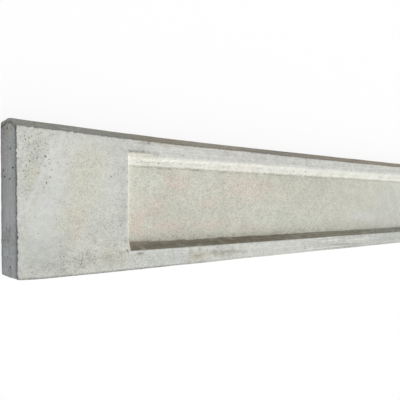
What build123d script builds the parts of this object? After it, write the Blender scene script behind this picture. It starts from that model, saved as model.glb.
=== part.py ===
"""Concrete gravel board with a recessed face, cast in one piece.

The board lies on its flat back. X runs along its length, Y across its height from the edge
that stands in the ground to the splayed top edge, and Z up through its thickness to the
recessed face. The origin is the centre of the back. Sizes are in millimetres.
"""

import os

from build123d import *

# Overall size, as the board is sold
LENGTH = 1830.0
HEIGHT = 150.0
THICKNESS = 50.0

# Splay along the top edge of the face, which sheds water from below the fence panel
SPLAY_RISE = 8.5
SPLAY_DEPTH = 14.0

# Plain border left round the recessed panel, measured to the mouth of the recess
END_BLOCK = 120.0
TOP_RAIL = 24.0
BOTTOM_RAIL = 20.0

# Recessed panel, whose walls lean outwards so that the casting leaves its mould
RECESS_DEPTH = 12.0
TOP_WALL_RUN = 10.0
BOTTOM_WALL_RUN = 8.0
END_WALL_RUN = 8.0
MOUTH_CORNER_RADIUS = 5.0
FLOOR_CORNER_RADIUS = 2.5

# Rounding of the cast edges
ARRIS_RADIUS = 1.5
MOUTH_RADIUS = 2.0
COVE_RADIUS = 2.5

# Where the recess lies, worked out from the border
mouth_length = LENGTH - 2 * END_BLOCK
mouth_height = HEIGHT - TOP_RAIL - BOTTOM_RAIL
mouth_centre_y = (BOTTOM_RAIL - TOP_RAIL) / 2
floor_length = mouth_length - 2 * END_WALL_RUN
floor_height = mouth_height - TOP_WALL_RUN - BOTTOM_WALL_RUN
floor_centre_y = mouth_centre_y + (BOTTOM_WALL_RUN - TOP_WALL_RUN) / 2
floor_level = THICKNESS - RECESS_DEPTH

face_plane = Plane.XY.offset(THICKNESS)
floor_plane = Plane.XY.offset(floor_level)

with BuildPart() as gravel_board:
    # Cross-section with the splay, run along the whole length
    with BuildSketch(Plane.YZ.offset(-LENGTH / 2)):
        with BuildLine():
            Polyline(
                (-HEIGHT / 2, 0),
                (HEIGHT / 2, 0),
                (HEIGHT / 2, THICKNESS - SPLAY_DEPTH),
                (HEIGHT / 2 - SPLAY_RISE, THICKNESS),
                (-HEIGHT / 2, THICKNESS),
                close=True,
            )
        make_face()
    extrude(amount=LENGTH)
    fillet(gravel_board.edges(), radius=ARRIS_RADIUS)

    # Recess, from its mouth in the face down to its smaller floor
    with BuildSketch(face_plane):
        with Locations((0, mouth_centre_y)):
            RectangleRounded(mouth_length, mouth_height, MOUTH_CORNER_RADIUS)
    with BuildSketch(floor_plane):
        with Locations((0, floor_centre_y)):
            RectangleRounded(floor_length, floor_height, FLOOR_CORNER_RADIUS)
    loft(mode=Mode.SUBTRACT)

    # Rounded lip of the mouth, and a cove where the walls meet the floor
    face = gravel_board.faces().filter_by(Plane.XY).sort_by(Axis.Z)[-1]
    fillet(face.inner_wires().edges(), radius=MOUTH_RADIUS)
    recess_floor = gravel_board.faces().filter_by_position(Axis.Z, floor_level, floor_level)
    fillet(recess_floor.edges(), radius=COVE_RADIUS)

gravel_board.part.label = "gravel_board"

os.makedirs("parts", exist_ok=True)
export_step(gravel_board.part, "parts/gravel_board.step")
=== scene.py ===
"""A concrete gravel board lying on its back, with its cast surfaces, the light and the camera."""

import math

import bpy
import numpy as np
from mathutils import Matrix, Vector


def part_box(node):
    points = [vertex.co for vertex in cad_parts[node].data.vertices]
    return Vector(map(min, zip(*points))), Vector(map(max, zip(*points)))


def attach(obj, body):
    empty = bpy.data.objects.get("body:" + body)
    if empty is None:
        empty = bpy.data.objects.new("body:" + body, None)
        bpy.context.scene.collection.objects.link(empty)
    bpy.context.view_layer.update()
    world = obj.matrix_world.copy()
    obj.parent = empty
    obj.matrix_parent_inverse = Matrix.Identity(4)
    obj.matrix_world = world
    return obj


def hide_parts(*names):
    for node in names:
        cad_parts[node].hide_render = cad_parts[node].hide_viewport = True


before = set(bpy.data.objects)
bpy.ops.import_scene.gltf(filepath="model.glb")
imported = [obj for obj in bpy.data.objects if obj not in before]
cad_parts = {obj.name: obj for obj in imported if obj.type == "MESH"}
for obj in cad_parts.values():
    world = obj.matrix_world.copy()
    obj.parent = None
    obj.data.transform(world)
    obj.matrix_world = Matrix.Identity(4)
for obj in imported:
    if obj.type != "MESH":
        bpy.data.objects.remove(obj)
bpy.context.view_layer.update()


# Gravel board: one casting of pale grey concrete, poured face down in a steel mould and floated
# by hand on its back. The mould gives it the recess, the splay and a thin skin of cement with
# small air holes, and the arrises chip a little as the casting is lifted out and stacked.
low, high = (np.array(corner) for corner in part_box("gravel_board"))
LENGTH, HEIGHT, THICKNESS = high - low
SPLAY_RISE = 0.0085
SPLAY_DEPTH = 0.014
END_BLOCK = 0.120
TOP_RAIL = 0.024
BOTTOM_RAIL = 0.020
RECESS_DEPTH = 0.012
TOP_WALL_RUN = 0.010
BOTTOM_WALL_RUN = 0.008
END_WALL_RUN = 0.008

near_end = low[0]
mouth_x = LENGTH / 2 - END_BLOCK
mouth_low = low[1] + BOTTOM_RAIL
mouth_high = high[1] - TOP_RAIL
face_top = high[1] - SPLAY_RISE
splay_foot = THICKNESS - SPLAY_DEPTH

# Lattice that the skin is drawn on: places along X, Y and Z, and the size of the cells there, small
# at the arrises and the recess walls and wider in the far half. The back takes every third line.
BACK_STEP = 3
X_KNOTS = [-0.915, -0.911, -0.8010, -0.7982, -0.7960, -0.7940, -0.7920, -0.7900, -0.7880, -0.7850,
           -0.700, -0.185, 0.0, 0.740, 0.7835, 0.7865, 0.7910, 0.7955, 0.7985, 0.911, 0.915]
X_CELLS = [0.0005, 0.0015, 0.0015, 0.0004, 0.0004, 0.0013, 0.0013, 0.0004, 0.0004, 0.0018,
           0.0023, 0.0031, 0.0070, 0.0075, 0.0025, 0.0008, 0.0016, 0.0008, 0.0030, 0.0035, 0.0005]
Y_KNOTS = [-0.075, -0.0715, -0.0605, -0.0565, -0.0542, -0.0525, -0.0495, -0.0482, -0.0456, -0.0425,
           0.0360, 0.0400, 0.0420, 0.0435, 0.0465, 0.0482, 0.0535, 0.0560, 0.0608, 0.0622, 0.0665]
Y_CELLS = [0.0005, 0.0018, 0.0016, 0.0006, 0.0004, 0.0014, 0.0014, 0.0004, 0.0004, 0.0019,
           0.0019, 0.0004, 0.0004, 0.0014, 0.0014, 0.0008, 0.0008, 0.0016, 0.0016, 0.0008, 0.0005]
Z_KNOTS = [0.0, 0.0035, 0.030, 0.034, 0.036, 0.038, 0.0405, 0.0465, 0.050]
Z_CELLS = [0.0006, 0.004, 0.004, 0.0016, 0.0007, 0.0016, 0.003, 0.003, 0.0006]
GRADING_SAMPLES = 20001


def graded_lines(knots, cells):
    """Lines whose spacing follows the cell sizes given at the knots.

    The number of cells is the integral of one over the size, made a multiple of the back's step,
    and the lines stand at equal steps of that integral.
    """
    places = np.linspace(knots[0], knots[-1], GRADING_SAMPLES)
    density = 1 / np.interp(places, knots, cells)
    passed = np.concatenate([[0], np.cumsum((density[1:] + density[:-1]) / 2 * np.diff(places))])
    count = BACK_STEP * round(passed[-1] / BACK_STEP)
    return np.interp(np.linspace(0, passed[-1], count + 1), passed, places)


def block_skin(x_lines, y_lines, z_lines):
    """The skin of a block of lattice points: the points, and the six sides as grids of point numbers.

    Each point on the outside has one number, so the sides share their edges. A side's grid is
    turned so that its first direction crossed with its second points out of the block.
    """
    shape = (len(x_lines), len(y_lines), len(z_lines))
    outside = np.ones(shape, bool)
    outside[1:-1, 1:-1, 1:-1] = False
    number = np.full(shape, -1)
    number[outside] = np.arange(outside.sum())
    lattice = np.meshgrid(x_lines, y_lines, z_lines, indexing="ij")
    points = np.stack([axis[outside] for axis in lattice], axis=1)
    sides = {
        "face": number[:, :, -1],
        "back": number[:, :, 0].T,
        "bottom_edge": number[:, 0, :],
        "top_edge": number[:, -1, :].T,
        "near_end": number[0].T,
        "far_end": number[-1],
    }
    return points, sides


WAVE_RANGE = (0.6, 1.6)


def wave_noise(points, wavelength, seed, waves=32):
    """Smooth noise about 0 with a spread of 1: plane waves in seeded directions, added up.

    Their wavelengths run over a range of times the one given.
    """
    rng = np.random.default_rng(seed)
    directions = rng.normal(size=(3, waves))
    directions /= np.linalg.norm(directions, axis=0)
    turns = 2 * np.pi / (wavelength * rng.uniform(*WAVE_RANGE, waves))
    phases = rng.uniform(0, 2 * np.pi, waves)
    return np.cos(points @ (directions * turns) + phases).sum(axis=1) * math.sqrt(2 / waves)


def wave_drift(points, wavelength, seed):
    """Smooth noise in each of the three directions, from seeds that follow one another."""
    return np.stack([wave_noise(points, wavelength, seed + axis) for axis in range(3)], axis=1)


def smooth_step(value, start, end):
    """0 before start, 1 after end, and an S-shaped rise between them."""
    share = np.clip((value - start) / (end - start), 0, 1)
    return share * share * (3 - 2 * share)


def bell(*offsets):
    """1 where every offset is 0, and exp of minus the sum of their squares elsewhere."""
    return np.exp(-sum(offset**2 for offset in offsets))


def soft_min(a, b, softness):
    """The smaller of two values, with the corner where they cross rounded over the softness."""
    share = np.clip(0.5 + 0.5 * (b - a) / softness, 0, 1)
    return b * (1 - share) + a * share - softness * share * (1 - share)


def soft_max(a, b, softness):
    """The larger of two values, rounded in the same way."""
    return -soft_min(-a, -b, softness)


# Arrises: rounded by the mould, worn unevenly and chipped here and there. At the near end the wear
# is heaviest along the top and bottom of the end, and on the lower corner of the face.
ARRIS_RADIUS = 0.0007
SLOW_WEAR = 0.12
SLOW_WEAR_LENGTH = 0.014
FINE_WEAR = 0.28
FINE_WEAR_LENGTH = 0.0045
WEAR_RANGE = (0.3, 2.2)
CHIP_RADIUS = 0.0018
CHIP_LENGTH = 0.012
CHIP_LEVEL = 1.6
END_WEAR = 0.0016
END_WEAR_REACH = 0.006
LOWER_WEAR_LEAST = 0.2
LOWER_WEAR_RISE = 1.3
BACK_CHIP = 0.0012
BACK_CHIP_PLACE = -0.0057
BACK_CHIP_REACH = 0.0030


def round_arrises(points):
    """The block with its edges rounded by an uneven radius.

    A point is drawn to the block shrunk by the radius and pushed out again by the radius, which
    moves only the points that are nearer than that to two sides.
    """
    x, y, z = points.T
    wear = 1 + SLOW_WEAR * wave_noise(points, SLOW_WEAR_LENGTH, seed=11)
    wear += FINE_WEAR * wave_noise(points, FINE_WEAR_LENGTH, seed=12)
    chips = np.clip(wave_noise(points, CHIP_LENGTH, seed=13) - CHIP_LEVEL, 0, 1)
    chips *= smooth_step(z, THICKNESS / 4, THICKNESS / 2)
    past_end = (x - near_end) / END_WEAR_REACH
    past_edge = (HEIGHT / 2 - np.abs(y)) / END_WEAR_REACH
    upper_wear = 1 - smooth_step(z, splay_foot - END_WEAR_REACH, splay_foot)
    lower_wear = LOWER_WEAR_LEAST + LOWER_WEAR_RISE * smooth_step(z, THICKNESS / 2, THICKNESS)
    end_wear = bell(past_end, past_edge) * np.where(y > 0, upper_wear, lower_wear)
    from_chip = np.hypot(y - BACK_CHIP_PLACE, z) / BACK_CHIP_REACH
    radius = ARRIS_RADIUS * np.clip(wear, *WEAR_RANGE) + CHIP_RADIUS * chips
    radius += END_WEAR * end_wear + BACK_CHIP * bell(past_end, from_chip)
    inner = np.clip(points, low + radius[:, None], high - radius[:, None])
    outward = points - inner
    return inner + outward * radius[:, None] / np.linalg.norm(outward, axis=1, keepdims=True)


# The near end of this board is a little higher and out of square, from a mould that had bowed, and
# its top rises a little more behind the splay
TOP_FLARE = 0.0042
TOP_FLARE_REACH = 0.300
CROWN_LEVELS = (0, 0.0045, 0.012, 0.021, 0.025, 0.036)
CROWN_RISES = (0.0009, 0.0018, 0.0020, 0.0026, 0.0022, 0)
CROWN_REACH = 0.020
BOTTOM_FLARE = 0.0011
BOTTOM_FLARE_REACH = 0.600
CORNER_DROP = 0.0013
CORNER_DROP_REACH = 0.016
END_LEAN = 0.0018
END_INSET = 0.0005
END_SKEW = 0.0004
END_LEAN_REACH = 0.060
SPLAY_WANDER = 0.0010
SPLAY_WANDER_PLACE = -0.615
SPLAY_WANDER_REACH = 0.040
RAIL_START = 0.002


def splay_and_flare(points):
    """The block with its top edge splayed, and its near end flared, crowned and leaning.

    Above the foot of the splay the height shrinks with the level, a little less at one place of the
    length. The flares grow to the near end, the upper one with the square of the way there, and
    only the rails take part in them; the lower one drops off again at the worn corner. The crown
    is highest behind the splay and fades out under it. The lean moves the near end out in step
    with the height, and back a little towards the face.
    """
    x, y, z = points.T
    wander = SPLAY_WANDER * bell((x - SPLAY_WANDER_PLACE) / SPLAY_WANDER_REACH)
    rise = (SPLAY_RISE - wander) * np.clip((z - splay_foot) / SPLAY_DEPTH, 0, 1)
    y = low[1] + (y - low[1]) * (1 - rise / HEIGHT)
    past_end = x - near_end
    crown = np.interp(z, CROWN_LEVELS, CROWN_RISES) * np.clip(1 - past_end / CROWN_REACH, 0, 1)
    upper = TOP_FLARE * np.clip(1 - past_end / TOP_FLARE_REACH, 0, 1) ** 2 + crown
    lower = BOTTOM_FLARE * np.clip(1 - past_end / BOTTOM_FLARE_REACH, 0, 1)
    lower = lower - CORNER_DROP * bell(past_end / CORNER_DROP_REACH)
    y = y + upper * smooth_step(y, mouth_high + RAIL_START, face_top)
    y = y - lower * smooth_step(-y, -mouth_low + RAIL_START, HEIGHT / 2)
    height_share = (y - low[1]) / HEIGHT
    lean = END_INSET - END_LEAN * height_share + END_SKEW * z / THICKNESS
    x = x + lean * np.clip(1 - past_end / END_LEAN_REACH, 0, 1)
    return np.stack([x, y, z], axis=1)


# Air holes left by bubbles against the mould, crowded in the upper corner at the near end. The
# larger ones are listed, as (x, y, radius) on the face and (y, z, radius) on the end.
FACE_HOLES = [
    (-0.888, 0.0431, 0.00095), (-0.8869, 0.0173, 0.00075), (-0.8835, 0.0231, 0.0006),
    (-0.9033, 0.0377, 0.00065), (-0.9065, 0.033, 0.00055), (-0.8994, 0.042, 0.00045),
    (-0.9085, 0.028, 0.0006), (-0.907, 0.0225, 0.00055), (-0.907, 0.0575, 0.0006),
    (-0.908, 0.0618, 0.0005), (-0.9115, 0.06, 0.00045), (-0.9039, 0.0538, 0.0005),
    (-0.9009, 0.062, 0.0004), (-0.8846, 0.0402, 0.0005), (-0.8885, 0.0336, 0.0005),
    (-0.89, 0.0499, 0.0004), (-0.8855, 0.0493, 0.0004), (-0.8992, 0.0493, 0.0004),
    (-0.8803, 0.0648, 0.0004), (-0.8757, 0.0374, 0.0005), (-0.8816, 0.03, 0.0005),
    (-0.8895, 0.0129, 0.0005), (-0.9063, 0.0101, 0.0005), (-0.8172, 0.0259, 0.0006),
    (-0.8487, -0.0107, 0.0005), (-0.8693, -0.0557, 0.0005), (-0.7521, 0.0445, 0.00115),
    (-0.7813, 0.0431, 0.00065), (-0.7761, 0.0445, 0.00065), (-0.7793, 0.0452, 0.0006),
    (-0.5121, 0.0459, 0.0011), (-0.4853, 0.0462, 0.0013), (-0.2664, 0.0454, 0.0013),
    (-0.4932, -0.0697, 0.0007),
]
END_HOLES = [
    (0.0306, 0.0091, 0.0012), (0.0246, 0.0123, 0.0011), (0.0315, 0.0391, 0.0012),
    (0.0213, 0.0291, 0.001), (0.022, 0.0184, 0.0009), (0.0501, 0.0316, 0.0009), (0.0714, 0.012, 0.0009),
    (0.0712, 0.0215, 0.0014), (0.067, 0.0125, 0.0008), (0.076, 0.0265, 0.0011),
    (-0.0274, 0.0181, 0.0006), (-0.0299, 0.0279, 0.0006), (-0.0351, 0.0215, 0.0007),
    (-0.0404, 0.0149, 0.0006), (-0.0417, 0.0248, 0.0006),
]
HOLE_RADIUS = 0.00042
HOLE_SPREAD = 0.30
HOLE_MARGIN = 0.004
CORNER_HOLES = 14
CORNER_HOLES_PLACE = (near_end + 0.020, 0.046)
CORNER_HOLES_SPREAD = 0.012
CORNER_HOLES_MARGIN = 0.005
WALL_HOLES = 90
WALL_HOLES_SPREAD = 0.0015
EVEN_HOLES = 50
EVEN_END_HOLES = 4
END_HOLE_LEVELS = (0.004, 0.046)
EVEN_EDGE_HOLES = 40
EDGE_HOLE_LEVELS = (0.004, 0.032)
DRAW_REACH = 0.003


def scatter_holes(side, rng):
    """Small holes scattered over a side, as places within it and radii.

    The face has them in its upper near corner, along the upper wall of the recess and, thinly, all
    over; the other sides have them evenly.
    """
    lowest, highest = low[1] + HOLE_MARGIN, face_top - HOLE_MARGIN
    if side == "face":
        corner = rng.normal(CORNER_HOLES_PLACE, CORNER_HOLES_SPREAD, (CORNER_HOLES, 2))
        corner = np.clip(corner, (near_end + CORNER_HOLES_MARGIN, 0), (0, face_top - CORNER_HOLES_MARGIN))
        along_wall = rng.uniform(-mouth_x, mouth_x, WALL_HOLES)
        up_wall = rng.normal(mouth_high - TOP_WALL_RUN / 2, WALL_HOLES_SPREAD, WALL_HOLES)
        even = rng.uniform((low[0], lowest), (high[0], highest), (EVEN_HOLES, 2))
        places = np.concatenate([corner, np.stack([along_wall, up_wall], axis=1), even])
    elif side in ("near_end", "far_end"):
        back_level, face_level = END_HOLE_LEVELS
        places = rng.uniform((lowest, back_level), (highest, face_level), (EVEN_END_HOLES, 2))
    else:
        corner, opposite = zip((low[0] + HOLE_MARGIN, high[0] - HOLE_MARGIN), EDGE_HOLE_LEVELS)
        places = rng.uniform(corner, opposite, (EVEN_EDGE_HOLES, 2))
    radii = HOLE_RADIUS * np.exp(HOLE_SPREAD * rng.normal(size=(len(places), 1)))
    return np.concatenate([places, radii], axis=1)


def draw_to_holes(points, grid, axes, holes):
    """The lattice point of each hole, as its row and column in the side's grid, with the radius.

    The point nearest to a hole is moved onto it within the side, and the points round it move
    along by a bell of the distance.
    """
    settled = []
    for first, second, radius in holes:
        place = np.array([first, second])
        flat = points[grid][:, :, axes]
        u, v = np.unravel_index(np.argmin(np.linalg.norm(flat - place, axis=2)), grid.shape)
        pull = bell(np.linalg.norm(flat - flat[u, v], axis=2) / DRAW_REACH)
        pull[[0, -1]] = 0
        pull[:, [0, -1]] = 0
        for axis, shift in zip(axes, place - flat[u, v]):
            points[grid, axis] += pull * shift
        settled.append((u, v, radius))
    return settled


# The recess is a little out of true at its near corners, and its corners, lip and cove are soft
NEAR_WALL_SHIFT = 0.0019
CORNER_TURN = 0.0026
CORNER_TURN_REACH = 0.012
BEFORE_CORNER = -0.020
LOWER_SPREAD = 0.0024
LOWER_SPREAD_REACH = 0.030
FOOT_WANDER = 0.00025
FOOT_WANDER_LENGTH = 0.018
LIP_DROP = 0.0041
LIP_DROP_START = (-0.003, 0.022)
LIP_DROP_REACH = 0.060
CORNER_SOFTNESS = 0.3
LIP_SOFTNESS = 0.06
UPPER_LIP_SOFTNESS = 0.22
UPPER_LIP_FADE = (-0.5, 0.5)
COVE_SOFTNESS = 0.07
CORNER_COVE_SOFTNESS = 0.20
CORNER_COVE_REACH = 0.045
CORNER_COVE_FADE = (0, 4)


def wall_shares(x, y):
    """How far down a point lies by each wall of the recess: the end walls, the lower and the upper.

    The near wall stands closer to the end than the far one, but turns back at the lower corner.
    Beside the near corners the lower wall leans more, and the upper wall starts lower. The feet of
    both wander a little.
    """
    past_corner = np.maximum(x + mouth_x, BEFORE_CORNER)
    turned = CORNER_TURN * smooth_step(mouth_low - y, -CORNER_TURN_REACH, 0)
    ends = (np.where(x < 0, mouth_x + NEAR_WALL_SHIFT - turned, mouth_x) - np.abs(x)) / END_WALL_RUN
    spread = LOWER_SPREAD * np.exp(-np.abs(past_corner) / LOWER_SPREAD_REACH)
    on_plan = np.stack([x, y, np.zeros(len(x))], axis=1)
    wander = FOOT_WANDER * wave_noise(on_plan, FOOT_WANDER_LENGTH, seed=18)
    lower = (y - mouth_low) / (BOTTOM_WALL_RUN + spread + wander)
    drop = LIP_DROP * smooth_step(past_corner, *LIP_DROP_START) * np.exp(-past_corner / LIP_DROP_REACH)
    upper = (mouth_high - drop - y) / (TOP_WALL_RUN - drop + wander)
    return ends, lower, upper


def recess_share(x, y):
    """How far a point of the face lies down the recess: 0 on the face, 1 on the recess floor.

    It is the least of the shares of the way down the walls, with soft corners. The lip and the
    cove round it off; the lip of the upper wall is the softest, and the cove is widest in the lower
    near corner.
    """
    ends, lower, upper = wall_shares(x, y)
    share = soft_min(soft_min(ends, lower, CORNER_SOFTNESS), upper, CORNER_SOFTNESS)
    lip = LIP_SOFTNESS + UPPER_LIP_SOFTNESS * smooth_step(np.minimum(ends, lower) - upper, *UPPER_LIP_FADE)
    corner = np.exp(-np.clip(x + mouth_x, 0, 1) / CORNER_COVE_REACH)
    corner *= smooth_step(upper - lower, *CORNER_COVE_FADE)
    return soft_min(soft_max(share, 0, lip), 1, COVE_SOFTNESS + CORNER_COVE_SOFTNESS * corner)


# A ragged ridge of cement that the mould left along the upper lip, beside the near corner
RIDGE_HEIGHT = 0.0011
RIDGE_WIDTH = 0.0012
RIDGE_PLACE = 0.0022
RIDGE_START = (-0.003, 0.003)
RIDGE_FADE = (0.012, 0.034)
RIDGE_RAGGEDNESS = 0.5
RIDGE_RAGGED_LENGTH = 0.004


def lip_ridge(points):
    """Height of the ridge: a ragged bell across the lip that fades along it."""
    past_corner = points[:, 0] + mouth_x
    across = bell((points[:, 1] - mouth_high - RIDGE_PLACE) / RIDGE_WIDTH)
    along = smooth_step(past_corner, *RIDGE_START) * (1 - smooth_step(past_corner, *RIDGE_FADE))
    ragged = 1 + RIDGE_RAGGEDNESS * wave_noise(points, RIDGE_RAGGED_LENGTH, seed=14)
    return RIDGE_HEIGHT * across * along * ragged


# The block's skin takes its form step by step: arrises, splay, nibbles along the edges of the face
# where sand has come away, air holes, recess, slow waviness of the mould and unevenness of the skin
NIBBLE = 0.00030
NIBBLE_LENGTH = 0.0036
NIBBLE_REACH = 0.0020
SIDE_AXES = {
    "face": [0, 1],
    "bottom_edge": [0, 2],
    "top_edge": [0, 2],
    "near_end": [1, 2],
    "far_end": [1, 2],
}
HOLE_SEED = 41
WAVINESS = 0.00009
WAVINESS_LENGTH = 0.090
UNEVENNESS = 0.00004
UNEVENNESS_LENGTH = 0.012

x_lines = graded_lines(X_KNOTS, X_CELLS)
y_lines = low[1] + (graded_lines(Y_KNOTS, Y_CELLS) - low[1]) * HEIGHT / (HEIGHT - SPLAY_RISE)
z_lines = graded_lines(Z_KNOTS, Z_CELLS)
block_points, sides = block_skin(x_lines, y_lines, z_lines)
points = splay_and_flare(round_arrises(block_points))
from_edges = np.minimum(block_points[:, 0] - near_end, high[1] - block_points[:, 1])
nibbles = wave_noise(block_points, NIBBLE_LENGTH, seed=15) * bell(from_edges / NIBBLE_REACH)
points[:, :2] += NIBBLE * (nibbles * (block_points[:, 2] > high[2] - NIBBLE_REACH))[:, None]

rng = np.random.default_rng(HOLE_SEED)
holes = {side: scatter_holes(side, rng) for side in SIDE_AXES}
holes["face"] = np.concatenate([FACE_HOLES, holes["face"]])
holes["near_end"] = np.concatenate([END_HOLES, holes["near_end"]])
settled = {}
for side, axes in SIDE_AXES.items():
    settled[side] = draw_to_holes(points, sides[side], axes, holes[side])

on_face = np.zeros(len(points), bool)
on_face[sides["face"]] = True
sunk = np.where(on_face, recess_share(points[:, 0], points[:, 1]), 0)
points[:, 2] += np.where(on_face, lip_ridge(points) - RECESS_DEPTH * sunk, 0)
slow = wave_drift(block_points, WAVINESS_LENGTH, seed=20)
fine = wave_drift(block_points, UNEVENNESS_LENGTH, seed=30)
points += WAVINESS * slow + UNEVENNESS * fine
points[:, 2] = np.maximum(points[:, 2], low[2])


def side_faces(grid, step=1):
    """A side's faces: the corner numbers one after another, and how many corners each face has.

    Each face spans a number of cells in both directions, and its outline runs round them. Only its
    four corners are kept, and on the rim of the side also the points between them, so that it
    meets the next side with no gap.
    """
    rows, columns = (np.array(grid.shape) - 1) // step
    cells = np.meshgrid(np.arange(rows), np.arange(columns), indexing="ij")
    i, j = (axis.reshape(-1, 1) for axis in cells)
    along = np.arange(step)
    still = np.zeros(step, int)
    outline_i = i * step + np.concatenate([along, still + step, step - along, still])
    outline_j = j * step + np.concatenate([still, along, still + step, step - along])
    rim = np.concatenate([j == 0, i == rows - 1, j == columns - 1, i == 0], axis=1)
    kept = np.repeat(rim, step, axis=1) | np.tile(along == 0, 4)
    return grid[outline_i, outline_j][kept], kept.sum(axis=1)


# Pits of the air holes, as shares of a hole's radius; those of the ends are drawn out through the
# thickness
HOLE_DEPTH = 1.3
HOLE_ROOM = 1.3
HOLE_LOBES = {2: 0.18, 3: 0.10}
LOBE_TURN = 6.3
THROAT_WIDTH = 0.8
THROAT_DEPTH = 0.6
END_HOLE_LENGTH = 2.2


def sink_holes(points, grid, settled, lengths, rng):
    """A side's faces with a small pit at each hole, and the points that the pits add.

    The faces of a block of cells round a hole give way to a rim and a throat, on an uneven circle
    in the directions of the block's outline, and a bottom. The lengths draw the circle out along
    the axes. A hole that has no room is left out.
    """
    rows, columns = grid.shape
    quads = side_faces(grid)[0].reshape(rows - 1, columns - 1, 4)
    covered = np.zeros((rows - 1, columns - 1), bool)
    new_points, new_quads, new_triangles = [], [], []
    count = len(points)
    for u, v, radius in settled:
        if not (1 <= u < rows - 1 and 1 <= v < columns - 1):
            continue
        along = points[grid[u + 1, v]] - points[grid[u - 1, v]]
        across = points[grid[u, v + 1]] - points[grid[u, v - 1]]
        reach = 2 * HOLE_ROOM * radius * lengths
        a = math.ceil(np.linalg.norm(reach * along) / (along @ along))
        b = math.ceil(np.linalg.norm(reach * across) / (across @ across))
        if min(u - a, v - b) < 1 or u + a > rows - 2 or v + b > columns - 2:
            continue
        if covered[u - a:u + a, v - b:v + b].any():
            continue
        covered[u - a:u + a, v - b:v + b] = True
        block = grid[u - a:u + a + 1, v - b:v + b + 1]
        ring = np.concatenate([block[:-1, 0], block[-1, :-1], block[:0:-1, -1], block[0, :0:-1]])
        middle = points[grid[u, v]]
        out = np.cross(along, across)
        out /= np.linalg.norm(out)
        spokes = points[ring] - middle
        spokes -= (spokes @ out)[:, None] * out
        spokes /= np.linalg.norm(spokes, axis=1, keepdims=True)
        angle = np.arctan2(spokes @ np.cross(out, along), spokes @ along)
        lobes = np.zeros(len(ring))
        for number, share in HOLE_LOBES.items():
            lobes += share * np.cos(number * angle + rng.uniform(0, LOBE_TURN))
        rim = spokes * (radius * (1 + lobes))[:, None] * lengths
        deep = HOLE_DEPTH * radius * out
        throat = THROAT_WIDTH * rim - THROAT_DEPTH * deep
        new_points.append(np.concatenate([middle + rim, middle + throat, [middle - deep]]))
        first = count + np.arange(len(ring))
        second = first + len(ring)
        after = np.roll(np.arange(len(ring)), -1)
        new_quads.append(np.stack([ring, ring[after], first[after], first], axis=1))
        new_quads.append(np.stack([first, first[after], second[after], second], axis=1))
        bottom = np.full(len(ring), count + 2 * len(ring))
        new_triangles.append(np.stack([second, second[after], bottom], axis=1))
        count += 2 * len(ring) + 1
    points = np.concatenate([points] + new_points)
    return points, np.concatenate([quads[~covered]] + new_quads), np.concatenate(new_triangles)


skin_count = len(points)
quads, triangles = [], []
for side, axes in SIDE_AXES.items():
    lengths = np.array([1, 1, END_HOLE_LENGTH if side.endswith("end") else 1])
    points, side_quads, side_triangles = sink_holes(points, sides[side], settled[side], lengths, rng)
    quads.append(side_quads)
    triangles.append(side_triangles)
quads, triangles = np.concatenate(quads), np.concatenate(triangles)
in_hole = np.unique(triangles)
back_corners, back_sizes = side_faces(sides["back"], BACK_STEP)
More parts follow.
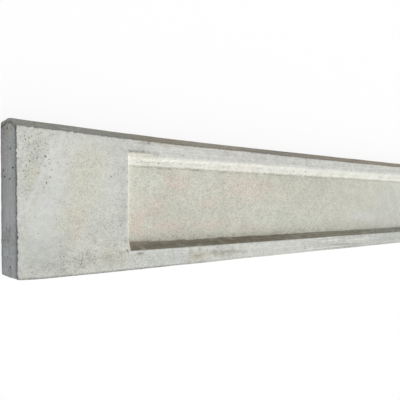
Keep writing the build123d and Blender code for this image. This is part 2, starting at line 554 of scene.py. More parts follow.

# Stains, listed: (x, y, reach along, reach across, turn in degrees, strength). Those of the
# near end are (y, z, ...).
# Some of these spots are painted light and shade, as said at their kinds
STAINS = {
    # The thin pale spot just below the lower lip, at y -0.0572, is a painted highlight on the rail's upper
    # arris; the rest are pale stains
    "pale": [
        (-0.8826, 0.053, 0.011, 0.002, 75, 1.2), (-0.8877, 0.036, 0.011, 0.002, 71, 1.2),
        (-0.8931, 0.021, 0.009, 0.0022, 69, 1.2), (-0.8998, 0.006, 0.011, 0.0022, 62, 1.2),
        (-0.9075, -0.007, 0.008, 0.0022, 58, 1.0), (-0.8761, 0.051, 0.009, 0.0018, 70, 0.8),
        (-0.879, 0.018, 0.03, 0.011, 80, 0.9), (-0.889, -0.016, 0.026, 0.014, 85, 1.0),
        (-0.817, 0.018, 0.018, 0.015, 90, 0.7), (-0.83, 0.062, 0.045, 0.007, 0, 0.5),
        (-0.9025, -0.028, 0.018, 0.0018, 88, 0.6), (-0.69, 0.071, 0.025, 0.006, 0, 0.3),
        (-0.745, 0.06, 0.03, 0.0045, 0, 0.5), (-0.55, -0.064, 0.08, 0.007, 0, 0.6),
        (-0.32, -0.025, 0.04, 0.008, 0, 0.9), (-0.23, 0.0, 0.05, 0.04, 0, 0.3),
        (-0.53, 0.0455, 0.15, 0.004, 0, 0.5), (-0.43, 0.058, 0.07, 0.007, 0, 0.35),
        (-0.74, -0.0572, 0.05, 0.0016, 0, 0.7), (-0.7, 0.058, 0.06, 0.007, 0, 0.4),
        (-0.47, 0.058, 0.08, 0.006, 0, 0.3),
    ],
    "cool": [
        (-0.893, -0.055, 0.024, 0.022, 0, 0.9), (-0.735, -0.066, 0.045, 0.0065, 0, 0.6),
        (-0.27, -0.065, 0.07, 0.008, 0, 1.15), (-0.22, -0.002, 0.055, 0.045, 0, 0.4),
        (-0.27, -0.051, 0.08, 0.004, 0, 0.26), (-0.545, 0.072, 0.05, 0.006, 0, 0.4),
    ],
    "earth": [
        (-0.63, -0.044, 0.11, 0.003, 0, 0.55), (-0.703, -0.0665, 0.007, 0.0055, 0, 1.7),
        (-0.655, -0.0655, 0.028, 0.0045, 0, 0.8), (-0.748, 0.0725, 0.045, 0.0085, 0, 0.8),
    ],
    "mint": [
        (-0.767, 0.023, 0.018, 0.014, 0, 0.7), (-0.678, 0.022, 0.018, 0.012, 0, 0.7),
        (-0.7, 0.005, 0.014, 0.008, 0, 0.5), (-0.54, -0.024, 0.1, 0.014, 0, 0.7),
        (-0.765, -0.0275, 0.005, 0.0045, 0, 0.9),
    ],
    "warm": [
        (-0.8995, 0.023, 0.011, 0.005, 85, 0.8), (-0.842, 0.034, 0.026, 0.02, 90, 0.7),
        (-0.85, 0.0, 0.016, 0.012, 80, 0.6), (-0.867, -0.028, 0.024, 0.015, 80, 0.75),
        (-0.815, -0.059, 0.015, 0.006, 0, 0.8), (-0.778, 0.051, 0.022, 0.0028, -4, 0.9),
        (-0.69, -0.066, 0.012, 0.005, 0, 0.4), (-0.645, 0.0725, 0.045, 0.005, 0, 0.9),
    ],
    # The thin green spot along the foot of the upper wall, at y 0.0345, is partly painted shade; the rest
    # are greenish stains
    "green": [
        (-0.693, -0.013, 0.045, 0.009, 0, 0.6), (-0.463, 0.02, 0.07, 0.018, 0, 1.0),
        (-0.34, -0.005, 0.05, 0.022, 0, 0.6), (-0.752, -0.0255, 0.005, 0.0045, 0, 1.0),
        (-0.508, 0.0345, 0.08, 0.004, 0, 1.0),
    ],
    "pink": [
        (-0.736, 0.023, 0.006, 0.009, 0, 1.1), (-0.715, 0.02, 0.012, 0.0125, 0, 1.2),
        (-0.602, 0.018, 0.042, 0.017, 0, 1.15), (-0.675, -0.001, 0.022, 0.006, 0, 1.1),
        (-0.778, -0.028, 0.009, 0.018, 0, 1.2), (-0.755, -0.006, 0.013, 0.011, 0, 1.1),
        (-0.735, -0.03, 0.024, 0.0065, 0, 1.1), (-0.67, -0.03, 0.034, 0.0065, 0, 1.1),
        (-0.6, -0.036, 0.035, 0.004, 0, 0.9), (-0.854, -0.027, 0.013, 0.0042, 80, 1.0),
        (-0.701, -0.068, 0.009, 0.004, 40, 0.4), (-0.645, 0.06, 0.04, 0.005, 0, 0.35),
        (-0.774, 0.052, 0.014, 0.0024, -6, 0.6),
    ],
    # The grime spots at y 0.036 and 0.028 along the foot of the upper wall and at y -0.0445 above the lower
    # wall's foot are painted shade; the rest are grime
    "grime_and_shade": [
        (-0.901, 0.04, 0.03, 0.0085, 85, 0.3), (-0.82, -0.027, 0.022, 0.02, 0, 0.15),
        (-0.803, -0.006, 0.028, 0.006, 90, 0.45), (-0.885, -0.064, 0.026, 0.009, 0, 0.45),
        (-0.855, -0.062, 0.03, 0.009, 0, 0.42), (-0.815, -0.06, 0.018, 0.009, 0, 0.8),
        (-0.665, -0.065, 0.03, 0.0048, 0, 0.3), (-0.35, -0.067, 0.11, 0.01, 0, 0.5),
        (-0.395, -0.0665, 0.06, 0.0018, 1, 0.8), (-0.892, 0.0715, 0.022, 0.0026, 0, 0.45),
        (-0.36, 0.055, 0.12, 0.006, 0, 0.2), (-0.66, 0.0545, 0.06, 0.0016, 0, 0.3),
        (-0.5, 0.054, 0.06, 0.0016, 0, 0.2), (-0.45, 0.058, 0.06, 0.0016, 0, 0.25),
        (-0.765, 0.036, 0.022, 0.0045, 0, 0.5), (-0.48, 0.036, 0.13, 0.004, 0, 0.45),
        (-0.48, 0.028, 0.13, 0.012, 0, 0.2), (-0.762, -0.0445, 0.022, 0.0022, 0, 0.5),
    ],
    # The three spots above the upper lip near the corner, at y 0.0552 and 0.0538, are painted shade on the
    # ridge's upper side, and the foot line added to this kind is partly painted shade; the rest are crust
    "crust_and_shade": [
        (-0.79, 0.0552, 0.007, 0.001, 0, 0.8), (-0.774, 0.0552, 0.009, 0.0012, -4, 0.8),
        (-0.762, 0.0538, 0.006, 0.0011, -8, 0.6), (-0.797, -0.0547, 0.0018, 0.001, -35, 3.0),
        (-0.7815, -0.0583, 0.0036, 0.0009, 0, 3.5), (-0.856, -0.07, 0.0026, 0.0013, 40, 1.1),
        (-0.65, -0.0643, 0.024, 0.0012, -3, 0.9), (-0.679, -0.065, 0.01, 0.0016, 0, 0.5),
        (-0.78, 0.0735, 0.025, 0.008, 0, 0.2), (-0.56, 0.072, 0.06, 0.008, 0, 0.45),
        (-0.4, 0.071, 0.08, 0.008, 0, 0.3), (-0.7507, -0.0735, 0.0018, 0.0013, 0, 1.5),
        (-0.783, 0.0655, 0.003, 0.0013, 0, 1.2), (-0.7705, 0.0652, 0.0022, 0.0013, 0, 1.2),
    ],
    "curl": [
        (-0.855, -0.062, 0.006, 0.01, 0, 1.3), (-0.87, -0.06, 0.01, 0.008, 0, 0.5),
        (-0.73, -0.059, 0.03, 0.002, 0, 0.5), (-0.65, -0.065, 0.024, 0.003, 0, 0.5),
        (-0.725, 0.008, 0.035, 0.02, 0, 0.16), (-0.645, 0.004, 0.04, 0.015, 0, 0.12),
    ],
}
END_STAINS = {
    "pale": [(0.000, 0.025, 0.030, 0.025, 0, 0.7)],
    "warm": [(0.045, 0.025, 0.030, 0.030, 0, 0.4), (0.0740, 0.022, 0.010, 0.025, 0, 0.5)],
    "grime_and_shade": [
        (-0.036, 0.02, 0.009, 0.012, 0, 0.8), (0.07, 0.013, 0.007, 0.014, 0, 0.7),
        (-0.066, 0.016, 0.01, 0.012, 0, 0.7), (0.02, 0.012, 0.02, 0.006, 0, 0.3),
        (0.079, 0.018, 0.0045, 0.02, 0, 0.5),
    ],
    "crust_and_shade": [
        (-0.0403, 0.01, 0.0025, 0.005, 0, 0.8), (-0.0395, 0.023, 0.0025, 0.005, 0, 0.9),
        (-0.0295, 0.026, 0.0025, 0.005, 0, 0.8), (-0.0326, 0.013, 0.0025, 0.005, 0, 0.6),
    ],
}

# Weaker stains scattered past the placed ones, and over the long edges and the far end
SCATTER_START = -0.20
SCATTER = {"pale": 12, "warm": 12, "green": 10, "pink": 8, "grime_and_shade": 12, "curl": 3}
SCATTER_SIDES = {"bottom_edge": 1.0, "top_edge": 1.0, "far_end": 0.2}
SCATTER_REACH = ((0.012, 0.005), (0.060, 0.016))
SCATTER_TURN = 12
SCATTER_STRENGTH = (0.3, 0.8)


def scatter_stains(corner, opposite, count, rng):
    """Spots of a stain at random places between two corners of a side, drawn out along it."""
    places = rng.uniform(corner, opposite, (count, 2))
    reaches = rng.uniform(*SCATTER_REACH, (count, 2))
    turns = rng.normal(0, SCATTER_TURN, (count, 1))
    strengths = rng.uniform(*SCATTER_STRENGTH, (count, 1))
    return np.concatenate([places, reaches, turns, strengths], axis=1)


def stain(first, second, spots, ragged):
    """How strongly a kind of stain shows: turned bells round its spots, added up.

    The raggedness makes the bells uneven, as a factor of the squared distance.
    """
    total = np.zeros(first.shape)
    for spot_first, spot_second, along, across, turn, strength in spots:
        cosine, sine = math.cos(math.radians(turn)), math.sin(math.radians(turn))
        u = ((first - spot_first) * cosine + (second - spot_second) * sine) / along
        v = ((second - spot_second) * cosine - (first - spot_first) * sine) / across
        total += strength * np.exp(-(u**2 + v**2) * ragged)
    return total


# Parts of the board, marked on its points from 0 to 1 for the finish: the recess and its walls, the
# rails beside it, the damp and painted shade on its lower wall, the splay with its browner length,
# the ends and holes
WALL_EDGE = (0.02, 0.10)
RAIL_END = (-0.02, 0.03)
DAMP_SHADE_PLACE = -0.625
DAMP_SHADE_REACH = 0.125
DAMP_SHADE_SHARE = 0.95
CORNER_DAMP_SHADE_REACH = 0.030
CORNER_DAMP_SHADE_SHARE = 1.1
FAR_DAMP_SHADE_START = (-0.42, -0.34)
FAR_DAMP_SHADE_SHARE = 0.42
SPLAY_FADE = 0.001
BROWN_START = (-0.005, 0.02)
HOLE_RIM = 0.15

x, y, z = points.T
past_corner = x + mouth_x
fronting = z > splay_foot - RECESS_DEPTH
ends, lower, upper = wall_shares(x, y)
nearest = np.minimum(np.minimum(ends, lower), upper)
slope = smooth_step(nearest, *WALL_EDGE) * (1 - smooth_step(nearest, 1 - WALL_EDGE[1], 1)) * fronting
marks = {name: np.zeros(len(points)) for name in ("recess", "splay", "end", "hole", "arris_shade")}
marks["recess"][:skin_count] = sunk
marks["rail"] = fronting * (1 - smooth_step(np.abs(x) - mouth_x, *RAIL_END)) * (nearest < 0)
marks["upper_wall"] = slope * (upper == nearest)
marks["lower_wall"] = slope * (lower == nearest)
marks["end_wall"] = slope * (ends == nearest)
# Darkening of the lower wall, strongest by the near corner: partly damp, partly painted shade
damp_and_shade = DAMP_SHADE_SHARE * bell((x - DAMP_SHADE_PLACE) / DAMP_SHADE_REACH)
damp_and_shade += CORNER_DAMP_SHADE_SHARE * np.exp(-np.abs(past_corner) / CORNER_DAMP_SHADE_REACH)
damp_and_shade += FAR_DAMP_SHADE_SHARE * smooth_step(x, *FAR_DAMP_SHADE_START)
marks["damp_and_shade"] = damp_and_shade * marks["lower_wall"]
top = sides["top_edge"]
marks["splay"][top] = smooth_step(z[top] - splay_foot, -SPLAY_FADE, SPLAY_FADE)
marks["brown"] = marks["splay"] * smooth_step(past_corner, *BROWN_START)
for side in ("near_end", "far_end"):
    marks["end"][sides[side]] = 1
# Holes and their rims are marked for painted shade inside them
marks["hole"][skin_count:] = HOLE_RIM
marks["hole"][in_hole] = 1

# Stains, with the painted light and shade among them, laid on the points, with ragged rims
RAGGEDNESS = 0.4
RAGGED_LENGTH = 0.010
RAGGED_RANGE = (0.3, 2)
STAIN_SEED = 57

ragged = np.clip(1 + RAGGEDNESS * wave_noise(points, RAGGED_LENGTH, seed=16), *RAGGED_RANGE)
rng = np.random.default_rng(STAIN_SEED)
near = sides["near_end"]
for kind, spots in STAINS.items():
    count = SCATTER.get(kind, 0)
    far_spots = scatter_stains((SCATTER_START, low[1]), high[:2], count, rng)
    marks[kind] = stain(x, y, np.concatenate([spots, far_spots]), ragged) * fronting
    marks[kind][near] += stain(y[near], z[near], END_STAINS.get(kind, []), ragged[near])
    for side, share in SCATTER_SIDES.items():
        axes = SIDE_AXES[side]
        grid = sides[side]
        side_spots = scatter_stains(low[axes], high[axes], round(share * count), rng)
        spread = stain(*points[grid][..., axes].transpose(2, 0, 1), side_spots, ragged[grid])
        marks[kind][grid] += spread * (1 - marks["splay"][grid])

# Bands along the walls of the recess, as places and widths in shares of the way down: a pale one on
# the upper lip, which is a painted highlight, a dark one below it, and dark or sandy lines at the feet,
# the dark one at the upper foot partly painted shade. They change along the board.
WALL_CHANGE = (-0.65, -0.50)
BAND_UNEVENNESS = 0.5
BAND_LENGTH = 0.030
BAND_RANGE = (0.2, 2)
LIP_HIGHLIGHT_BAND = (0.22, 0.13)
FAR_LIP_HIGHLIGHT = 0.25
MIDDLE_BAND = (0.50, 0.17)
MIDDLE_BAND_SHARES = (0.24, 0.05)
FLOOR_START = 0.9
UPPER_FOOT = (1.15, 0.15)
UPPER_FOOT_SHARES = (1.1, 0.7)
FOOT_CRUST_AND_SHADE = 0.45
FOOT_GRIME_AND_SHADE = 0.5
LOWER_FOOT = (1.3, 0.35)


def band(share, place, width):
    """A bell of the given width about a place."""
    return bell((share - place) / width)


def changing(x, change, near_value, far_value):
    """A value along the board: one before the change, another after it, and an S-shaped curve between."""
    return near_value + (far_value - near_value) * smooth_step(x, *change)


uneven = np.clip(1 + BAND_UNEVENNESS * wave_noise(points, BAND_LENGTH, seed=17), *BAND_RANGE)
# The pale band on the upper lip is a painted highlight
marks["lip"] = changing(x, WALL_CHANGE, band(upper, *LIP_HIGHLIGHT_BAND) * uneven, FAR_LIP_HIGHLIGHT) * marks["upper_wall"]
middle_band = band(upper, *MIDDLE_BAND) * marks["upper_wall"]
middle_band *= changing(x, WALL_CHANGE, *MIDDLE_BAND_SHARES)
on_floor = nearest > FLOOR_START
# A dark line on the floor along the foot of the upper wall, partly crust and grime, partly painted shade
upper_foot = band(upper, *UPPER_FOOT) * on_floor * changing(x, WALL_CHANGE, *UPPER_FOOT_SHARES)
lower_foot = band(lower, *LOWER_FOOT) * on_floor
marks["crust_and_shade"] += uneven * (FOOT_CRUST_AND_SHADE * upper_foot + middle_band)
marks["grime_and_shade"] += FOOT_GRIME_AND_SHADE * upper_foot

# Pinholes crowded in the upper near corner of the face
CROWD_PLACE = (near_end + 0.016, 0.048)
CROWD_REACH = (0.022, 0.024)
marks["crowd"] = band(x, CROWD_PLACE[0], CROWD_REACH[0]) * band(y, CROWD_PLACE[1], CROWD_REACH[1]) * fronting

# Drag lines on the rails, the splay and the lower wall, strongest where the lower rail is scraped
UPPER_RAIL_LINES = (0.6, 0.8)
LOWER_RAIL_LINES = 0.5
LOWER_WALL_LINES = 1.5
SCRAPE = (-0.385, 0.080)
SCRAPE_LINES = 2.8

upper_rail = marks["rail"] * (y > 0)
lower_rail = marks["rail"] * (y < 0)
rail_lines = upper_rail * changing(x, WALL_CHANGE, *UPPER_RAIL_LINES) + LOWER_RAIL_LINES * lower_rail
marks["streaked"] = np.maximum(rail_lines, marks["splay"]) + LOWER_WALL_LINES * marks["lower_wall"]
marks["streaked"] += SCRAPE_LINES * lower_rail * band(x, *SCRAPE)

# Sand that shows through the skin: its share all over, at some spots, and what each part or stain
# adds to it or takes from it, evenly or with a change along the board
SAND_SHARE = 0.78
SAND_SPOTS = [
    (-0.65, 0.01, 0.09, 0.03, 0, 0.25), (-0.25, 0.0, 0.13, 0.05, 0, -0.75),
    (-0.893, -0.05, 0.022, 0.024, 0, -0.25), (-0.31, -0.066, 0.12, 0.01, 0, -0.5),
]
SAND_SHARES = {
    "pale": -0.45,
    "grime_and_shade": 0.35,
    "crowd": 0.20,
    "end": 0.36,
    "splay": 0.5,
    "upper_foot": 0.6,
    "lower_rail": 0.20,
}
SAND_CHANGES = {
    "upper_rail": ((-0.70, -0.45), 0, 0.35),
    "upper_wall": ((-0.65, -0.45), 0, -0.35),
    "recess": ((-0.75, -0.35), 0.10, 0.52),
    "lower_foot": ((-0.60, -0.40), 0.6, 0),
}

sandy = dict(marks, upper_rail=upper_rail, lower_rail=lower_rail)
sandy.update(upper_foot=upper_foot, lower_foot=lower_foot)
for kind in ("pale", "grime_and_shade"):
    sandy[kind] = np.clip(marks[kind], 0, 1)
marks["sand"] = SAND_SHARE + stain(x, y, SAND_SPOTS, ragged)
for part, share in SAND_SHARES.items():
    marks["sand"] += share * sandy[part]
for part, (change, near_share, far_share) in SAND_CHANGES.items():
    marks["sand"] += sandy[part] * changing(x, change, near_share, far_share)

# Dark lines along the arrises, painted shade: below the face, fading and coming back along the board;
# on the ends, all round and at a step below the top that slants towards the back; and along the splay
BOTTOM_LINE = 0.0017
BOTTOM_LINE_DEPTH = 0.004
BOTTOM_LINE_FADE = ((-0.77, -0.60), 1, 0.2)
BOTTOM_LINE_RETURN = ((-0.50, -0.43), 0, 0.5)
END_LINE = 0.0050
BACK_LINE = 0.0030
BACK_LINE_SHARE = 0.35
RIM_LINE = 0.0030
RIM_LINE_SHARE = 0.35
STEP_PLACE = 0.0040
STEP_SLANT = 0.0028
STEP_SLANT_REACH = 0.024
STEP_LINE = 0.0013
STEP_LINE_SHARE = 1.2
SPLAY_LINE = 0.0018
SPLAY_LINE_SHARE = 0.45

block_x, block_y, block_z = block_points.T
from_bottom = block_y - low[1]
from_top = high[1] - block_y
from_face = high[2] - block_z
on_end = marks["end"][:skin_count] > 0
on_splay = marks["splay"][:skin_count] > 0
bottom_share = changing(block_x, *BOTTOM_LINE_FADE) + changing(block_x, *BOTTOM_LINE_RETURN)
step_place = STEP_PLACE + STEP_SLANT * np.clip(1 - block_z / STEP_SLANT_REACH, 0, 1)
arris_shade_lines = [
    bottom_share * bell(from_bottom / BOTTOM_LINE) * (from_face < BOTTOM_LINE_DEPTH),
    bell(from_face / END_LINE) * on_end,
    BACK_LINE_SHARE * bell(block_z / BACK_LINE) * on_end,
    RIM_LINE_SHARE * bell(np.minimum(from_bottom, from_top) / RIM_LINE) * on_end,
    STEP_LINE_SHARE * band(from_top, step_place, STEP_LINE) * on_end,
    SPLAY_LINE_SHARE * bell(from_face / SPLAY_LINE) * on_splay,
]
marks["arris_shade"][:skin_count] = np.max(arris_shade_lines, axis=0)

# The mesh, with the marks as values on its points; the back's faces take the second material
SHARP_ANGLE = math.radians(50)

mesh = bpy.data.meshes.new("gravel_board_cast")
corners = np.concatenate([quads.ravel(), triangles.ravel(), back_corners])
sizes = np.concatenate([np.full(len(quads), 4), np.full(len(triangles), 3), back_sizes])
used, corners = np.unique(corners, return_inverse=True)
mesh.vertices.add(len(used))
mesh.vertices.foreach_set("co", points[used].ravel())
mesh.loops.add(len(corners))
mesh.loops.foreach_set("vertex_index", corners)
mesh.polygons.add(len(sizes))
mesh.polygons.foreach_set("loop_start", np.concatenate([[0], np.cumsum(sizes)[:-1]]))
mesh.polygons.foreach_set("use_smooth", np.ones(len(sizes), bool))
on_back = np.arange(len(sizes)) >= len(sizes) - len(back_sizes)
mesh.polygons.foreach_set("material_index", on_back.astype(int))
for name, values in marks.items():
    mesh.attributes.new(name, "FLOAT", "POINT").data.foreach_set("value", values[used].astype(np.float32))
mesh.update(calc_edges=True)
mesh.validate()
mesh.set_sharp_from_angle(angle=SHARP_ANGLE)
board = bpy.data.objects.new("gravel_board_cast", mesh)
bpy.context.scene.collection.objects.link(board)


# Finish: the cement skin with its sand, pores, patches and drag lines, in groups that the moulded
# sides and the floated back share
def set_input(tree, node, name, value):
    """Link a socket, or set a plain value, on a node's input."""
    if isinstance(value, bpy.types.NodeSocket):
        tree.links.new(value, node.inputs[name])
    else:
        node.inputs[name].default_value = value


def new_node(tree, kind, inputs, **settings):
    """A shader node with its settings made and its inputs linked or set."""
    node = tree.nodes.new("ShaderNode" + kind)
    for name, value in settings.items():
        setattr(node, name, value)
    for name, value in inputs.items():
        set_input(tree, node, name, value)
    return node


def calculate(tree, operation, *values):
    """The value of a sum, product or other operation on some values."""
    inputs = dict(enumerate(values))
    return new_node(tree, "Math", inputs, operation=operation).outputs["Value"]


def stretch(tree, value, start, end, to_start=0.0, to_end=1.0):
    """A value carried from one range to another along an S-shaped curve, held at both ends."""
    inputs = {"Value": value, "From Min": start, "From Max": end, "To Min": to_start, "To Max": to_end}
    return new_node(tree, "MapRange", inputs, interpolation_type="SMOOTHSTEP").outputs["Result"]


def noise(tree, vector, scale, detail, roughness=0.55):
    """Cloudy noise about 0.5, with its scale in features to the metre."""
    inputs = {"Vector": vector, "Scale": scale, "Detail": detail, "Roughness": roughness}
    return new_node(tree, "TexNoise", inputs).outputs["Fac"]


def tint(tree, share, under, over):
    """One colour laid over another by a share."""
    node = new_node(tree, "Mix", {0: share, 6: under, 7: over}, data_type="RGBA")
    return node.outputs[2]


def mark(tree, name):
    """A mark of the mesh, read as a value."""
    return new_node(tree, "Attribute", {}, attribute_name=name).outputs["Fac"]


def new_group(name, inputs, outputs):
    """An empty shader group with its sockets, and the nodes at its two ends."""
    group = bpy.data.node_groups.new(name, "ShaderNodeTree")
    for in_out, sockets in (("INPUT", inputs), ("OUTPUT", outputs)):
        for socket, kind in sockets.items():
            group.interface.new_socket(socket, in_out=in_out, socket_type="NodeSocket" + kind)
    return group, group.nodes.new("NodeGroupInput").outputs, group.nodes.new("NodeGroupOutput")


def place_group(tree, group, **inputs):
    """The outputs of a group placed in a material."""
    return new_node(tree, "Group", inputs, node_tree=group).outputs


# Sand: grains of three sizes, in features to the metre with their shares, that show through the
# cement skin, the dark ones more than the pale
GRAINS = {330: 0.12, 850: 0.50, 1700: 0.38}
GRAIN_DETAIL = 1.0
GRAIN_SKEW = 3.5
GRAIN_LIFT = 0.02

sand, given, result = new_group("sand_grain", {"Vector": "Vector"}, {"Tone": "Float", "Height": "Float"})
tone = 0.0
for scale, share in GRAINS.items():
    grains = noise(sand, given["Vector"], scale, GRAIN_DETAIL)
    tone = calculate(sand, "ADD", tone, calculate(sand, "MULTIPLY", grains, share))
off_middle = calculate(sand, "SUBTRACT", tone, 0.5)
skew = calculate(sand, "MULTIPLY", calculate(sand, "MULTIPLY", off_middle, off_middle), GRAIN_SKEW)
tone = calculate(sand, "ADD", calculate(sand, "SUBTRACT", tone, skew), GRAIN_LIFT)
set_input(sand, result, "Tone", tone)
set_input(sand, result, "Height", calculate(sand, "ADD", tone, grains))

# Pores: pinholes too small to be cut in the mesh, in a share of the cells of a scatter
PORE_SCALE = 380.0
PORE_WIDTHS = (0.10, 0.28)

pores, given, result = new_group("pinholes", {"Vector": "Vector", "Share": "Float"}, {"Mask": "Float"})
scatter = new_node(pores, "TexVoronoi", {"Vector": given["Vector"], "Scale": PORE_SCALE})
lot = new_node(pores, "SeparateColor", {"Color": scatter.outputs["Color"]})
width = stretch(pores, lot.outputs["Red"], 0, 1, *PORE_WIDTHS)
inside = calculate(pores, "LESS_THAN", scatter.outputs["Distance"], width)
picked = calculate(pores, "LESS_THAN", lot.outputs["Green"], given["Share"])
set_input(pores, result, "Mask", calculate(pores, "MULTIPLY", inside, picked))

# Patches: clouds of paler and darker cement
PATCH_DETAIL = 3.0
PATCH_ROUGHNESS = 0.6
PATCH_RANGE = (0.32, 0.68)

patches, given, result = new_group(
    "cement_patches", {"Vector": "Vector", "Scale": "Float"}, {"Mask": "Float"}
)
clouds = noise(patches, given["Vector"], given["Scale"], PATCH_DETAIL, PATCH_ROUGHNESS)
set_input(patches, result, "Mask", stretch(patches, clouds, *PATCH_RANGE))

# Drag lines: fine streaks drawn out along one direction by the mould or the float
DRAG_ROUGHNESS = 0.65
DRAG_RANGE = (0.36, 0.64)

drag, given, result = new_group(
    "drag_lines", {"Vector": "Vector", "Stretch": "Vector", "Detail": "Float"}, {"Mask": "Float"}
)
factors = {0: given["Vector"], 1: given["Stretch"]}
drawn = new_node(drag, "VectorMath", factors, operation="MULTIPLY").outputs["Vector"]
lines = noise(drag, drawn, 1.0, given["Detail"], DRAG_ROUGHNESS)
set_input(drag, result, "Mask", stretch(drag, lines, *DRAG_RANGE))


def shaded(tree, colour, tone, depth):
    """A colour made lighter and darker by a tone about 0.5, by a share of itself."""
    factor = calculate(tree, "MULTIPLY_ADD", tone, depth, 1 - depth / 2)
    scaled = new_node(tree, "VectorMath", {0: colour, "Scale": factor}, operation="SCALE")
    return scaled.outputs["Vector"]


def swung(tree, tone, share):
    """A tone about 0.5, with its swing to both sides taken times a share."""
    swing = calculate(tree, "MULTIPLY", calculate(tree, "SUBTRACT", tone, 0.5), share)
    return calculate(tree, "ADD", swing, 0.5)


# Both finishes: a material of the board with its sand, and the values that its shader is given
SPECULAR = 0.3
TONE_RANGE = (0.3, 0.7)


def new_concrete(name):
    """A new material of the board: its tree, the place on the board and the grain of its sand."""
    material = bpy.data.materials.new(name)
    material.use_nodes = True
    mesh.materials.append(material)
    place = new_node(material.node_tree, "TexCoord", {}).outputs["Object"]
    return material.node_tree, place, place_group(material.node_tree, sand, Vector=place)


def finish_concrete(tree, colour, tone, roughness, height, strength, distance):
    """The shader's colour, its roughness from one value to another with the tone, and its bump."""
    shader = tree.nodes["Principled BSDF"]
    set_input(tree, shader, "Base Color", colour)
    set_input(tree, shader, "Roughness", stretch(tree, tone, *TONE_RANGE, *roughness))
    shader.inputs["Specular IOR Level"].default_value = SPECULAR
    bump = new_node(tree, "Bump", {"Height": height, "Strength": strength, "Distance": distance})
    set_input(tree, shader, "Normal", bump.outputs["Normal"])


# Moulded sides: the colour of each part, and of the stains and painted shade with the scale of the
# clouds that break them up and the least that the clouds leave of them
FACE_COLOUR = (0.600, 0.605, 0.550, 1)
PART_COLOURS = {
    "recess": (0.590, 0.588, 0.510, 1),
    "rail": (0.610, 0.618, 0.578, 1),
    # The end walls of the recess are painted lighter than the face: a painted highlight
    "upper_wall": (0.642, 0.642, 0.590, 1),
    # Painted highlight along the upper lip
    "lip": (0.745, 0.735, 0.675, 1),
    # The lower wall is darker and browner than the face, partly from dirt and partly as painted shade
    "lower_wall": (0.402, 0.380, 0.304, 1),
    "damp_and_shade": (0.260, 0.228, 0.172, 1),
    "end_wall": (0.715, 0.705, 0.635, 1),
    "splay": (0.465, 0.465, 0.415, 1),
    "brown": (0.520, 0.455, 0.365, 1),
    # The ends are painted a bluer grey than the face: a painted tint of the cool light in their shade
    "end": (0.568, 0.596, 0.630, 1),
}
STAIN_COLOURS = {
    "warm": ((0.625, 0.612, 0.500, 1), 60.0, 0.6),
    "green": ((0.545, 0.552, 0.468, 1), 60.0, 0.6),
    "pink": ((0.631, 0.570, 0.496, 1), 60.0, 0.78),
    "pale": ((0.670, 0.680, 0.650, 1), 60.0, 0.6),
    "mint": ((0.620, 0.640, 0.560, 1), 60.0, 0.6),
    "cool": ((0.520, 0.540, 0.515, 1), 60.0, 0.8),
    "earth": ((0.450, 0.418, 0.335, 1), 250.0, 0.5),
    "grime_and_shade": ((0.420, 0.415, 0.365, 1), 600.0, 0.3),
    "crust_and_shade": ((0.260, 0.250, 0.200, 1), 400.0, 0.15),
    # Painted shade along the arrises
    "arris_shade": ((0.150, 0.150, 0.145, 1), 400.0, 0.65),
}
CURL_COLOUR = (0.240, 0.235, 0.205, 1)
HOLE_SHADE_COLOUR = (0.110, 0.108, 0.097, 1)
SAND_DEPTH = 1.80
PATCH_SCALES = (45.0, 140.0)
PATCH_DEPTH = 0.07
LINE_DETAIL = 3.0
LINE_DEPTH = 0.22
END_LINE_DEPTH = 0.14
ALONG = (7.0, 600.0, 600.0)
UPRIGHT = (180.0, 12.0, 180.0)
CURLED = (80.0, 190.0, 120.0)
CURL_WIDTH = 0.16
PINHOLE_SHARES = (0.04, 0.16)
PINHOLE_SHADE = 0.6
MOULDED_ROUGHNESS = (0.96, 0.80)
MOULDED_BUMP = (0.35, 0.0006)

tree, place, grain = new_concrete("moulded_concrete")
colour = FACE_COLOUR
for part, part_colour in PART_COLOURS.items():
    colour = tint(tree, mark(tree, part), colour, part_colour)
for kind, (stain_colour, scale, least) in STAIN_COLOURS.items():
    breaks = place_group(tree, patches, Vector=place, Scale=scale)["Mask"]
    broken = calculate(tree, "MULTIPLY", mark(tree, kind), stretch(tree, breaks, 0, 1, least, 1.0))
    colour = tint(tree, broken, colour, stain_colour)
for scale in PATCH_SCALES:
    colour = shaded(tree, colour, place_group(tree, patches, Vector=place, Scale=scale)["Mask"], PATCH_DEPTH)
colour = shaded(tree, colour, swung(tree, grain["Tone"], mark(tree, "sand")), SAND_DEPTH)
for direction, lined, depth in ((ALONG, "streaked", LINE_DEPTH), (UPRIGHT, "end", END_LINE_DEPTH)):
    streaks = place_group(tree, drag, Vector=place, Stretch=direction, Detail=LINE_DETAIL)["Mask"]
    colour = shaded(tree, colour, swung(tree, streaks, mark(tree, lined)), depth)
wrinkles = place_group(tree, drag, Vector=place, Stretch=CURLED, Detail=0.0)["Mask"]
off_line = calculate(tree, "ABSOLUTE", calculate(tree, "SUBTRACT", wrinkles, 0.5))
curl = calculate(tree, "MULTIPLY", stretch(tree, off_line, 0.0, CURL_WIDTH, 1.0, 0.0), mark(tree, "curl"))
colour = tint(tree, curl, colour, CURL_COLOUR)
# The holes and pinholes are painted dark: painted shade inside them
crowd = calculate(tree, "MAXIMUM", mark(tree, "crowd"), mark(tree, "upper_wall"))
crowd = calculate(tree, "MAXIMUM", crowd, mark(tree, "grime_and_shade"))
pinhole_share = stretch(tree, crowd, 0, 1, *PINHOLE_SHARES)
pinhole = place_group(tree, pores, Vector=place, Share=pinhole_share)["Mask"]
dark = calculate(tree, "MAXIMUM", calculate(tree, "MULTIPLY", pinhole, PINHOLE_SHADE), mark(tree, "hole"))
colour = tint(tree, dark, colour, HOLE_SHADE_COLOUR)
height = calculate(tree, "SUBTRACT", grain["Height"], pinhole)
finish_concrete(tree, colour, grain["Tone"], MOULDED_ROUGHNESS, height, *MOULDED_BUMP)

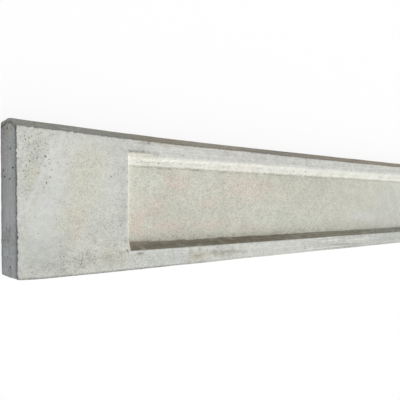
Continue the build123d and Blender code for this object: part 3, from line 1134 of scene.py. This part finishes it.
# Floated back: rougher and greyer, with the sweeps of the float across it
BACK_COLOUR = (0.560, 0.562, 0.520)
BACK_PATCHES = 30.0
ACROSS = (160.0, 14.0, 160.0)
BACK_PINHOLES = 0.12
SWEEP_HEIGHT = 1.5
FLOATED_ROUGHNESS = (0.98, 0.86)
FLOATED_BUMP = (0.5, 0.0008)

tree, place, grain = new_concrete("floated_concrete")
broad = place_group(tree, patches, Vector=place, Scale=BACK_PATCHES)["Mask"]
sweeps = place_group(tree, drag, Vector=place, Stretch=ACROSS, Detail=LINE_DETAIL)["Mask"]
pinhole = place_group(tree, pores, Vector=place, Share=BACK_PINHOLES)["Mask"]
colour = shaded(tree, BACK_COLOUR, broad, PATCH_DEPTH)
colour = shaded(tree, colour, sweeps, LINE_DEPTH)
colour = shaded(tree, colour, grain["Tone"], SAND_DEPTH)
# Pinholes painted dark: painted shade inside them
colour = tint(tree, calculate(tree, "MULTIPLY", pinhole, PINHOLE_SHADE), colour, HOLE_SHADE_COLOUR)
height = calculate(tree, "ADD", grain["Height"], calculate(tree, "MULTIPLY", sweeps, SWEEP_HEIGHT))
finish_concrete(tree, colour, grain["Tone"], FLOATED_ROUGHNESS, height, *FLOATED_BUMP)

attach(board, "root")
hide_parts("gravel_board")


# Floor: a plain pale sheet under the board. The camera sees it nearly white, with the board's
# soft shadow on it, and it throws a little light back on the board's edges.
FLOOR_SIZE = 40.0
FLOOR_GAP = 0.0002
FLOOR_COLOUR = (0.80, 0.80, 0.80, 1)
WHITE = (1, 1, 1, 1)
SHADOW_SHARE = 0.10


def seen_directly(tree):
    """1 for what the camera sees, also by way of a shiny or clear surface, and 0 for other light."""
    path = new_node(tree, "LightPath", {})
    mirrored = calculate(tree, "MAXIMUM", path.outputs["Is Glossy Ray"], path.outputs["Is Transmission Ray"])
    return calculate(tree, "MAXIMUM", path.outputs["Is Camera Ray"], mirrored)


reach = FLOOR_SIZE / 2
floor_mesh = bpy.data.meshes.new("floor")
floor_corners = [(u * reach, v * reach, -FLOOR_GAP) for u, v in ((-1, -1), (1, -1), (1, 1), (-1, 1))]
floor_mesh.from_pydata(floor_corners, [], [(0, 1, 2, 3)])
floor = bpy.data.objects.new("floor", floor_mesh)
bpy.context.scene.collection.objects.link(floor)

floor_material = bpy.data.materials.new("pale_floor")
floor_material.use_nodes = True
tree = floor_material.node_tree
tree.nodes.clear()
pale = new_node(tree, "BsdfDiffuse", {"Color": FLOOR_COLOUR}).outputs["BSDF"]
shadowed = new_node(tree, "BsdfDiffuse", {"Color": WHITE}).outputs["BSDF"]
glow = new_node(tree, "Emission", {"Color": WHITE}).outputs["Emission"]
seen = new_node(tree, "MixShader", {0: SHADOW_SHARE, 1: glow, 2: shadowed}).outputs["Shader"]
chooser = new_node(tree, "MixShader", {0: seen_directly(tree), 1: pale, 2: seen})
new_node(tree, "OutputMaterial", {"Surface": chooser.outputs["Shader"]})
floor_mesh.materials.append(floor_material)


# Light: one very broad soft lamp from the far side of the lower edge, so that the upper wall of the
# recess is bright and the lower one is in shade, and even light all round.
KEY_STRENGTH = 3.4
KEY_SOFTNESS = math.radians(90)
KEY_FROM = Vector((0.42, -0.57, 0.71))
AMBIENT = 0.20

key_lamp = bpy.data.lights.new("soft_key", "SUN")
key_lamp.energy = KEY_STRENGTH
key_lamp.angle = KEY_SOFTNESS
key = bpy.data.objects.new("soft_key", key_lamp)
key.rotation_mode = "QUATERNION"
key.rotation_quaternion = KEY_FROM.to_track_quat("Z", "Y")
bpy.context.scene.collection.objects.link(key)

world = bpy.data.worlds.new("studio")
bpy.context.scene.world = world
world.use_nodes = True
tree = world.node_tree
tree.nodes.clear()
even = new_node(tree, "Background", {"Color": WHITE, "Strength": AMBIENT})
white = new_node(tree, "Background", {"Color": WHITE, "Strength": 1.0})
backgrounds = {0: seen_directly(tree), 1: even.outputs["Background"], 2: white.outputs["Background"]}
chooser = new_node(tree, "MixShader", backgrounds)
new_node(tree, "OutputWorld", {"Surface": chooser.outputs["Shader"]})


# Camera: over the near end, looking down along the board at the angle from which the photograph
# sees its face, with the photograph's framing.
CAMERA_PLACE = (-1.0505, -0.0038, 0.4937)
CAMERA_TURN = math.radians(38.62)
CAMERA_TILT = math.radians(0.57)
FOCAL_PIXELS = 461.9
IMAGE_PIXELS = 400
SENSOR_WIDTH = 36.0
NEAREST_SEEN = 0.01

lens = bpy.data.cameras.new("camera")
lens.sensor_width = SENSOR_WIDTH
lens.lens = FOCAL_PIXELS / IMAGE_PIXELS * SENSOR_WIDTH
lens.clip_start = NEAREST_SEEN
camera = bpy.data.objects.new("camera", lens)
look = Vector((math.sin(CAMERA_TURN), 0, -math.cos(CAMERA_TURN)))
right = Vector((math.cos(CAMERA_TURN), 0, math.sin(CAMERA_TURN)))
upright = Vector((0, 1, 0))
tilted_look = look * math.cos(CAMERA_TILT) + upright * math.sin(CAMERA_TILT)
tilted_up = upright * math.cos(CAMERA_TILT) - look * math.sin(CAMERA_TILT)
turn = Matrix((right, tilted_up, -tilted_look)).transposed()
camera.matrix_world = Matrix.Translation(CAMERA_PLACE) @ turn.to_4x4()
bpy.context.scene.collection.objects.link(camera)
bpy.context.scene.camera = camera
bpy.context.scene.view_settings.view_transform = "Standard"
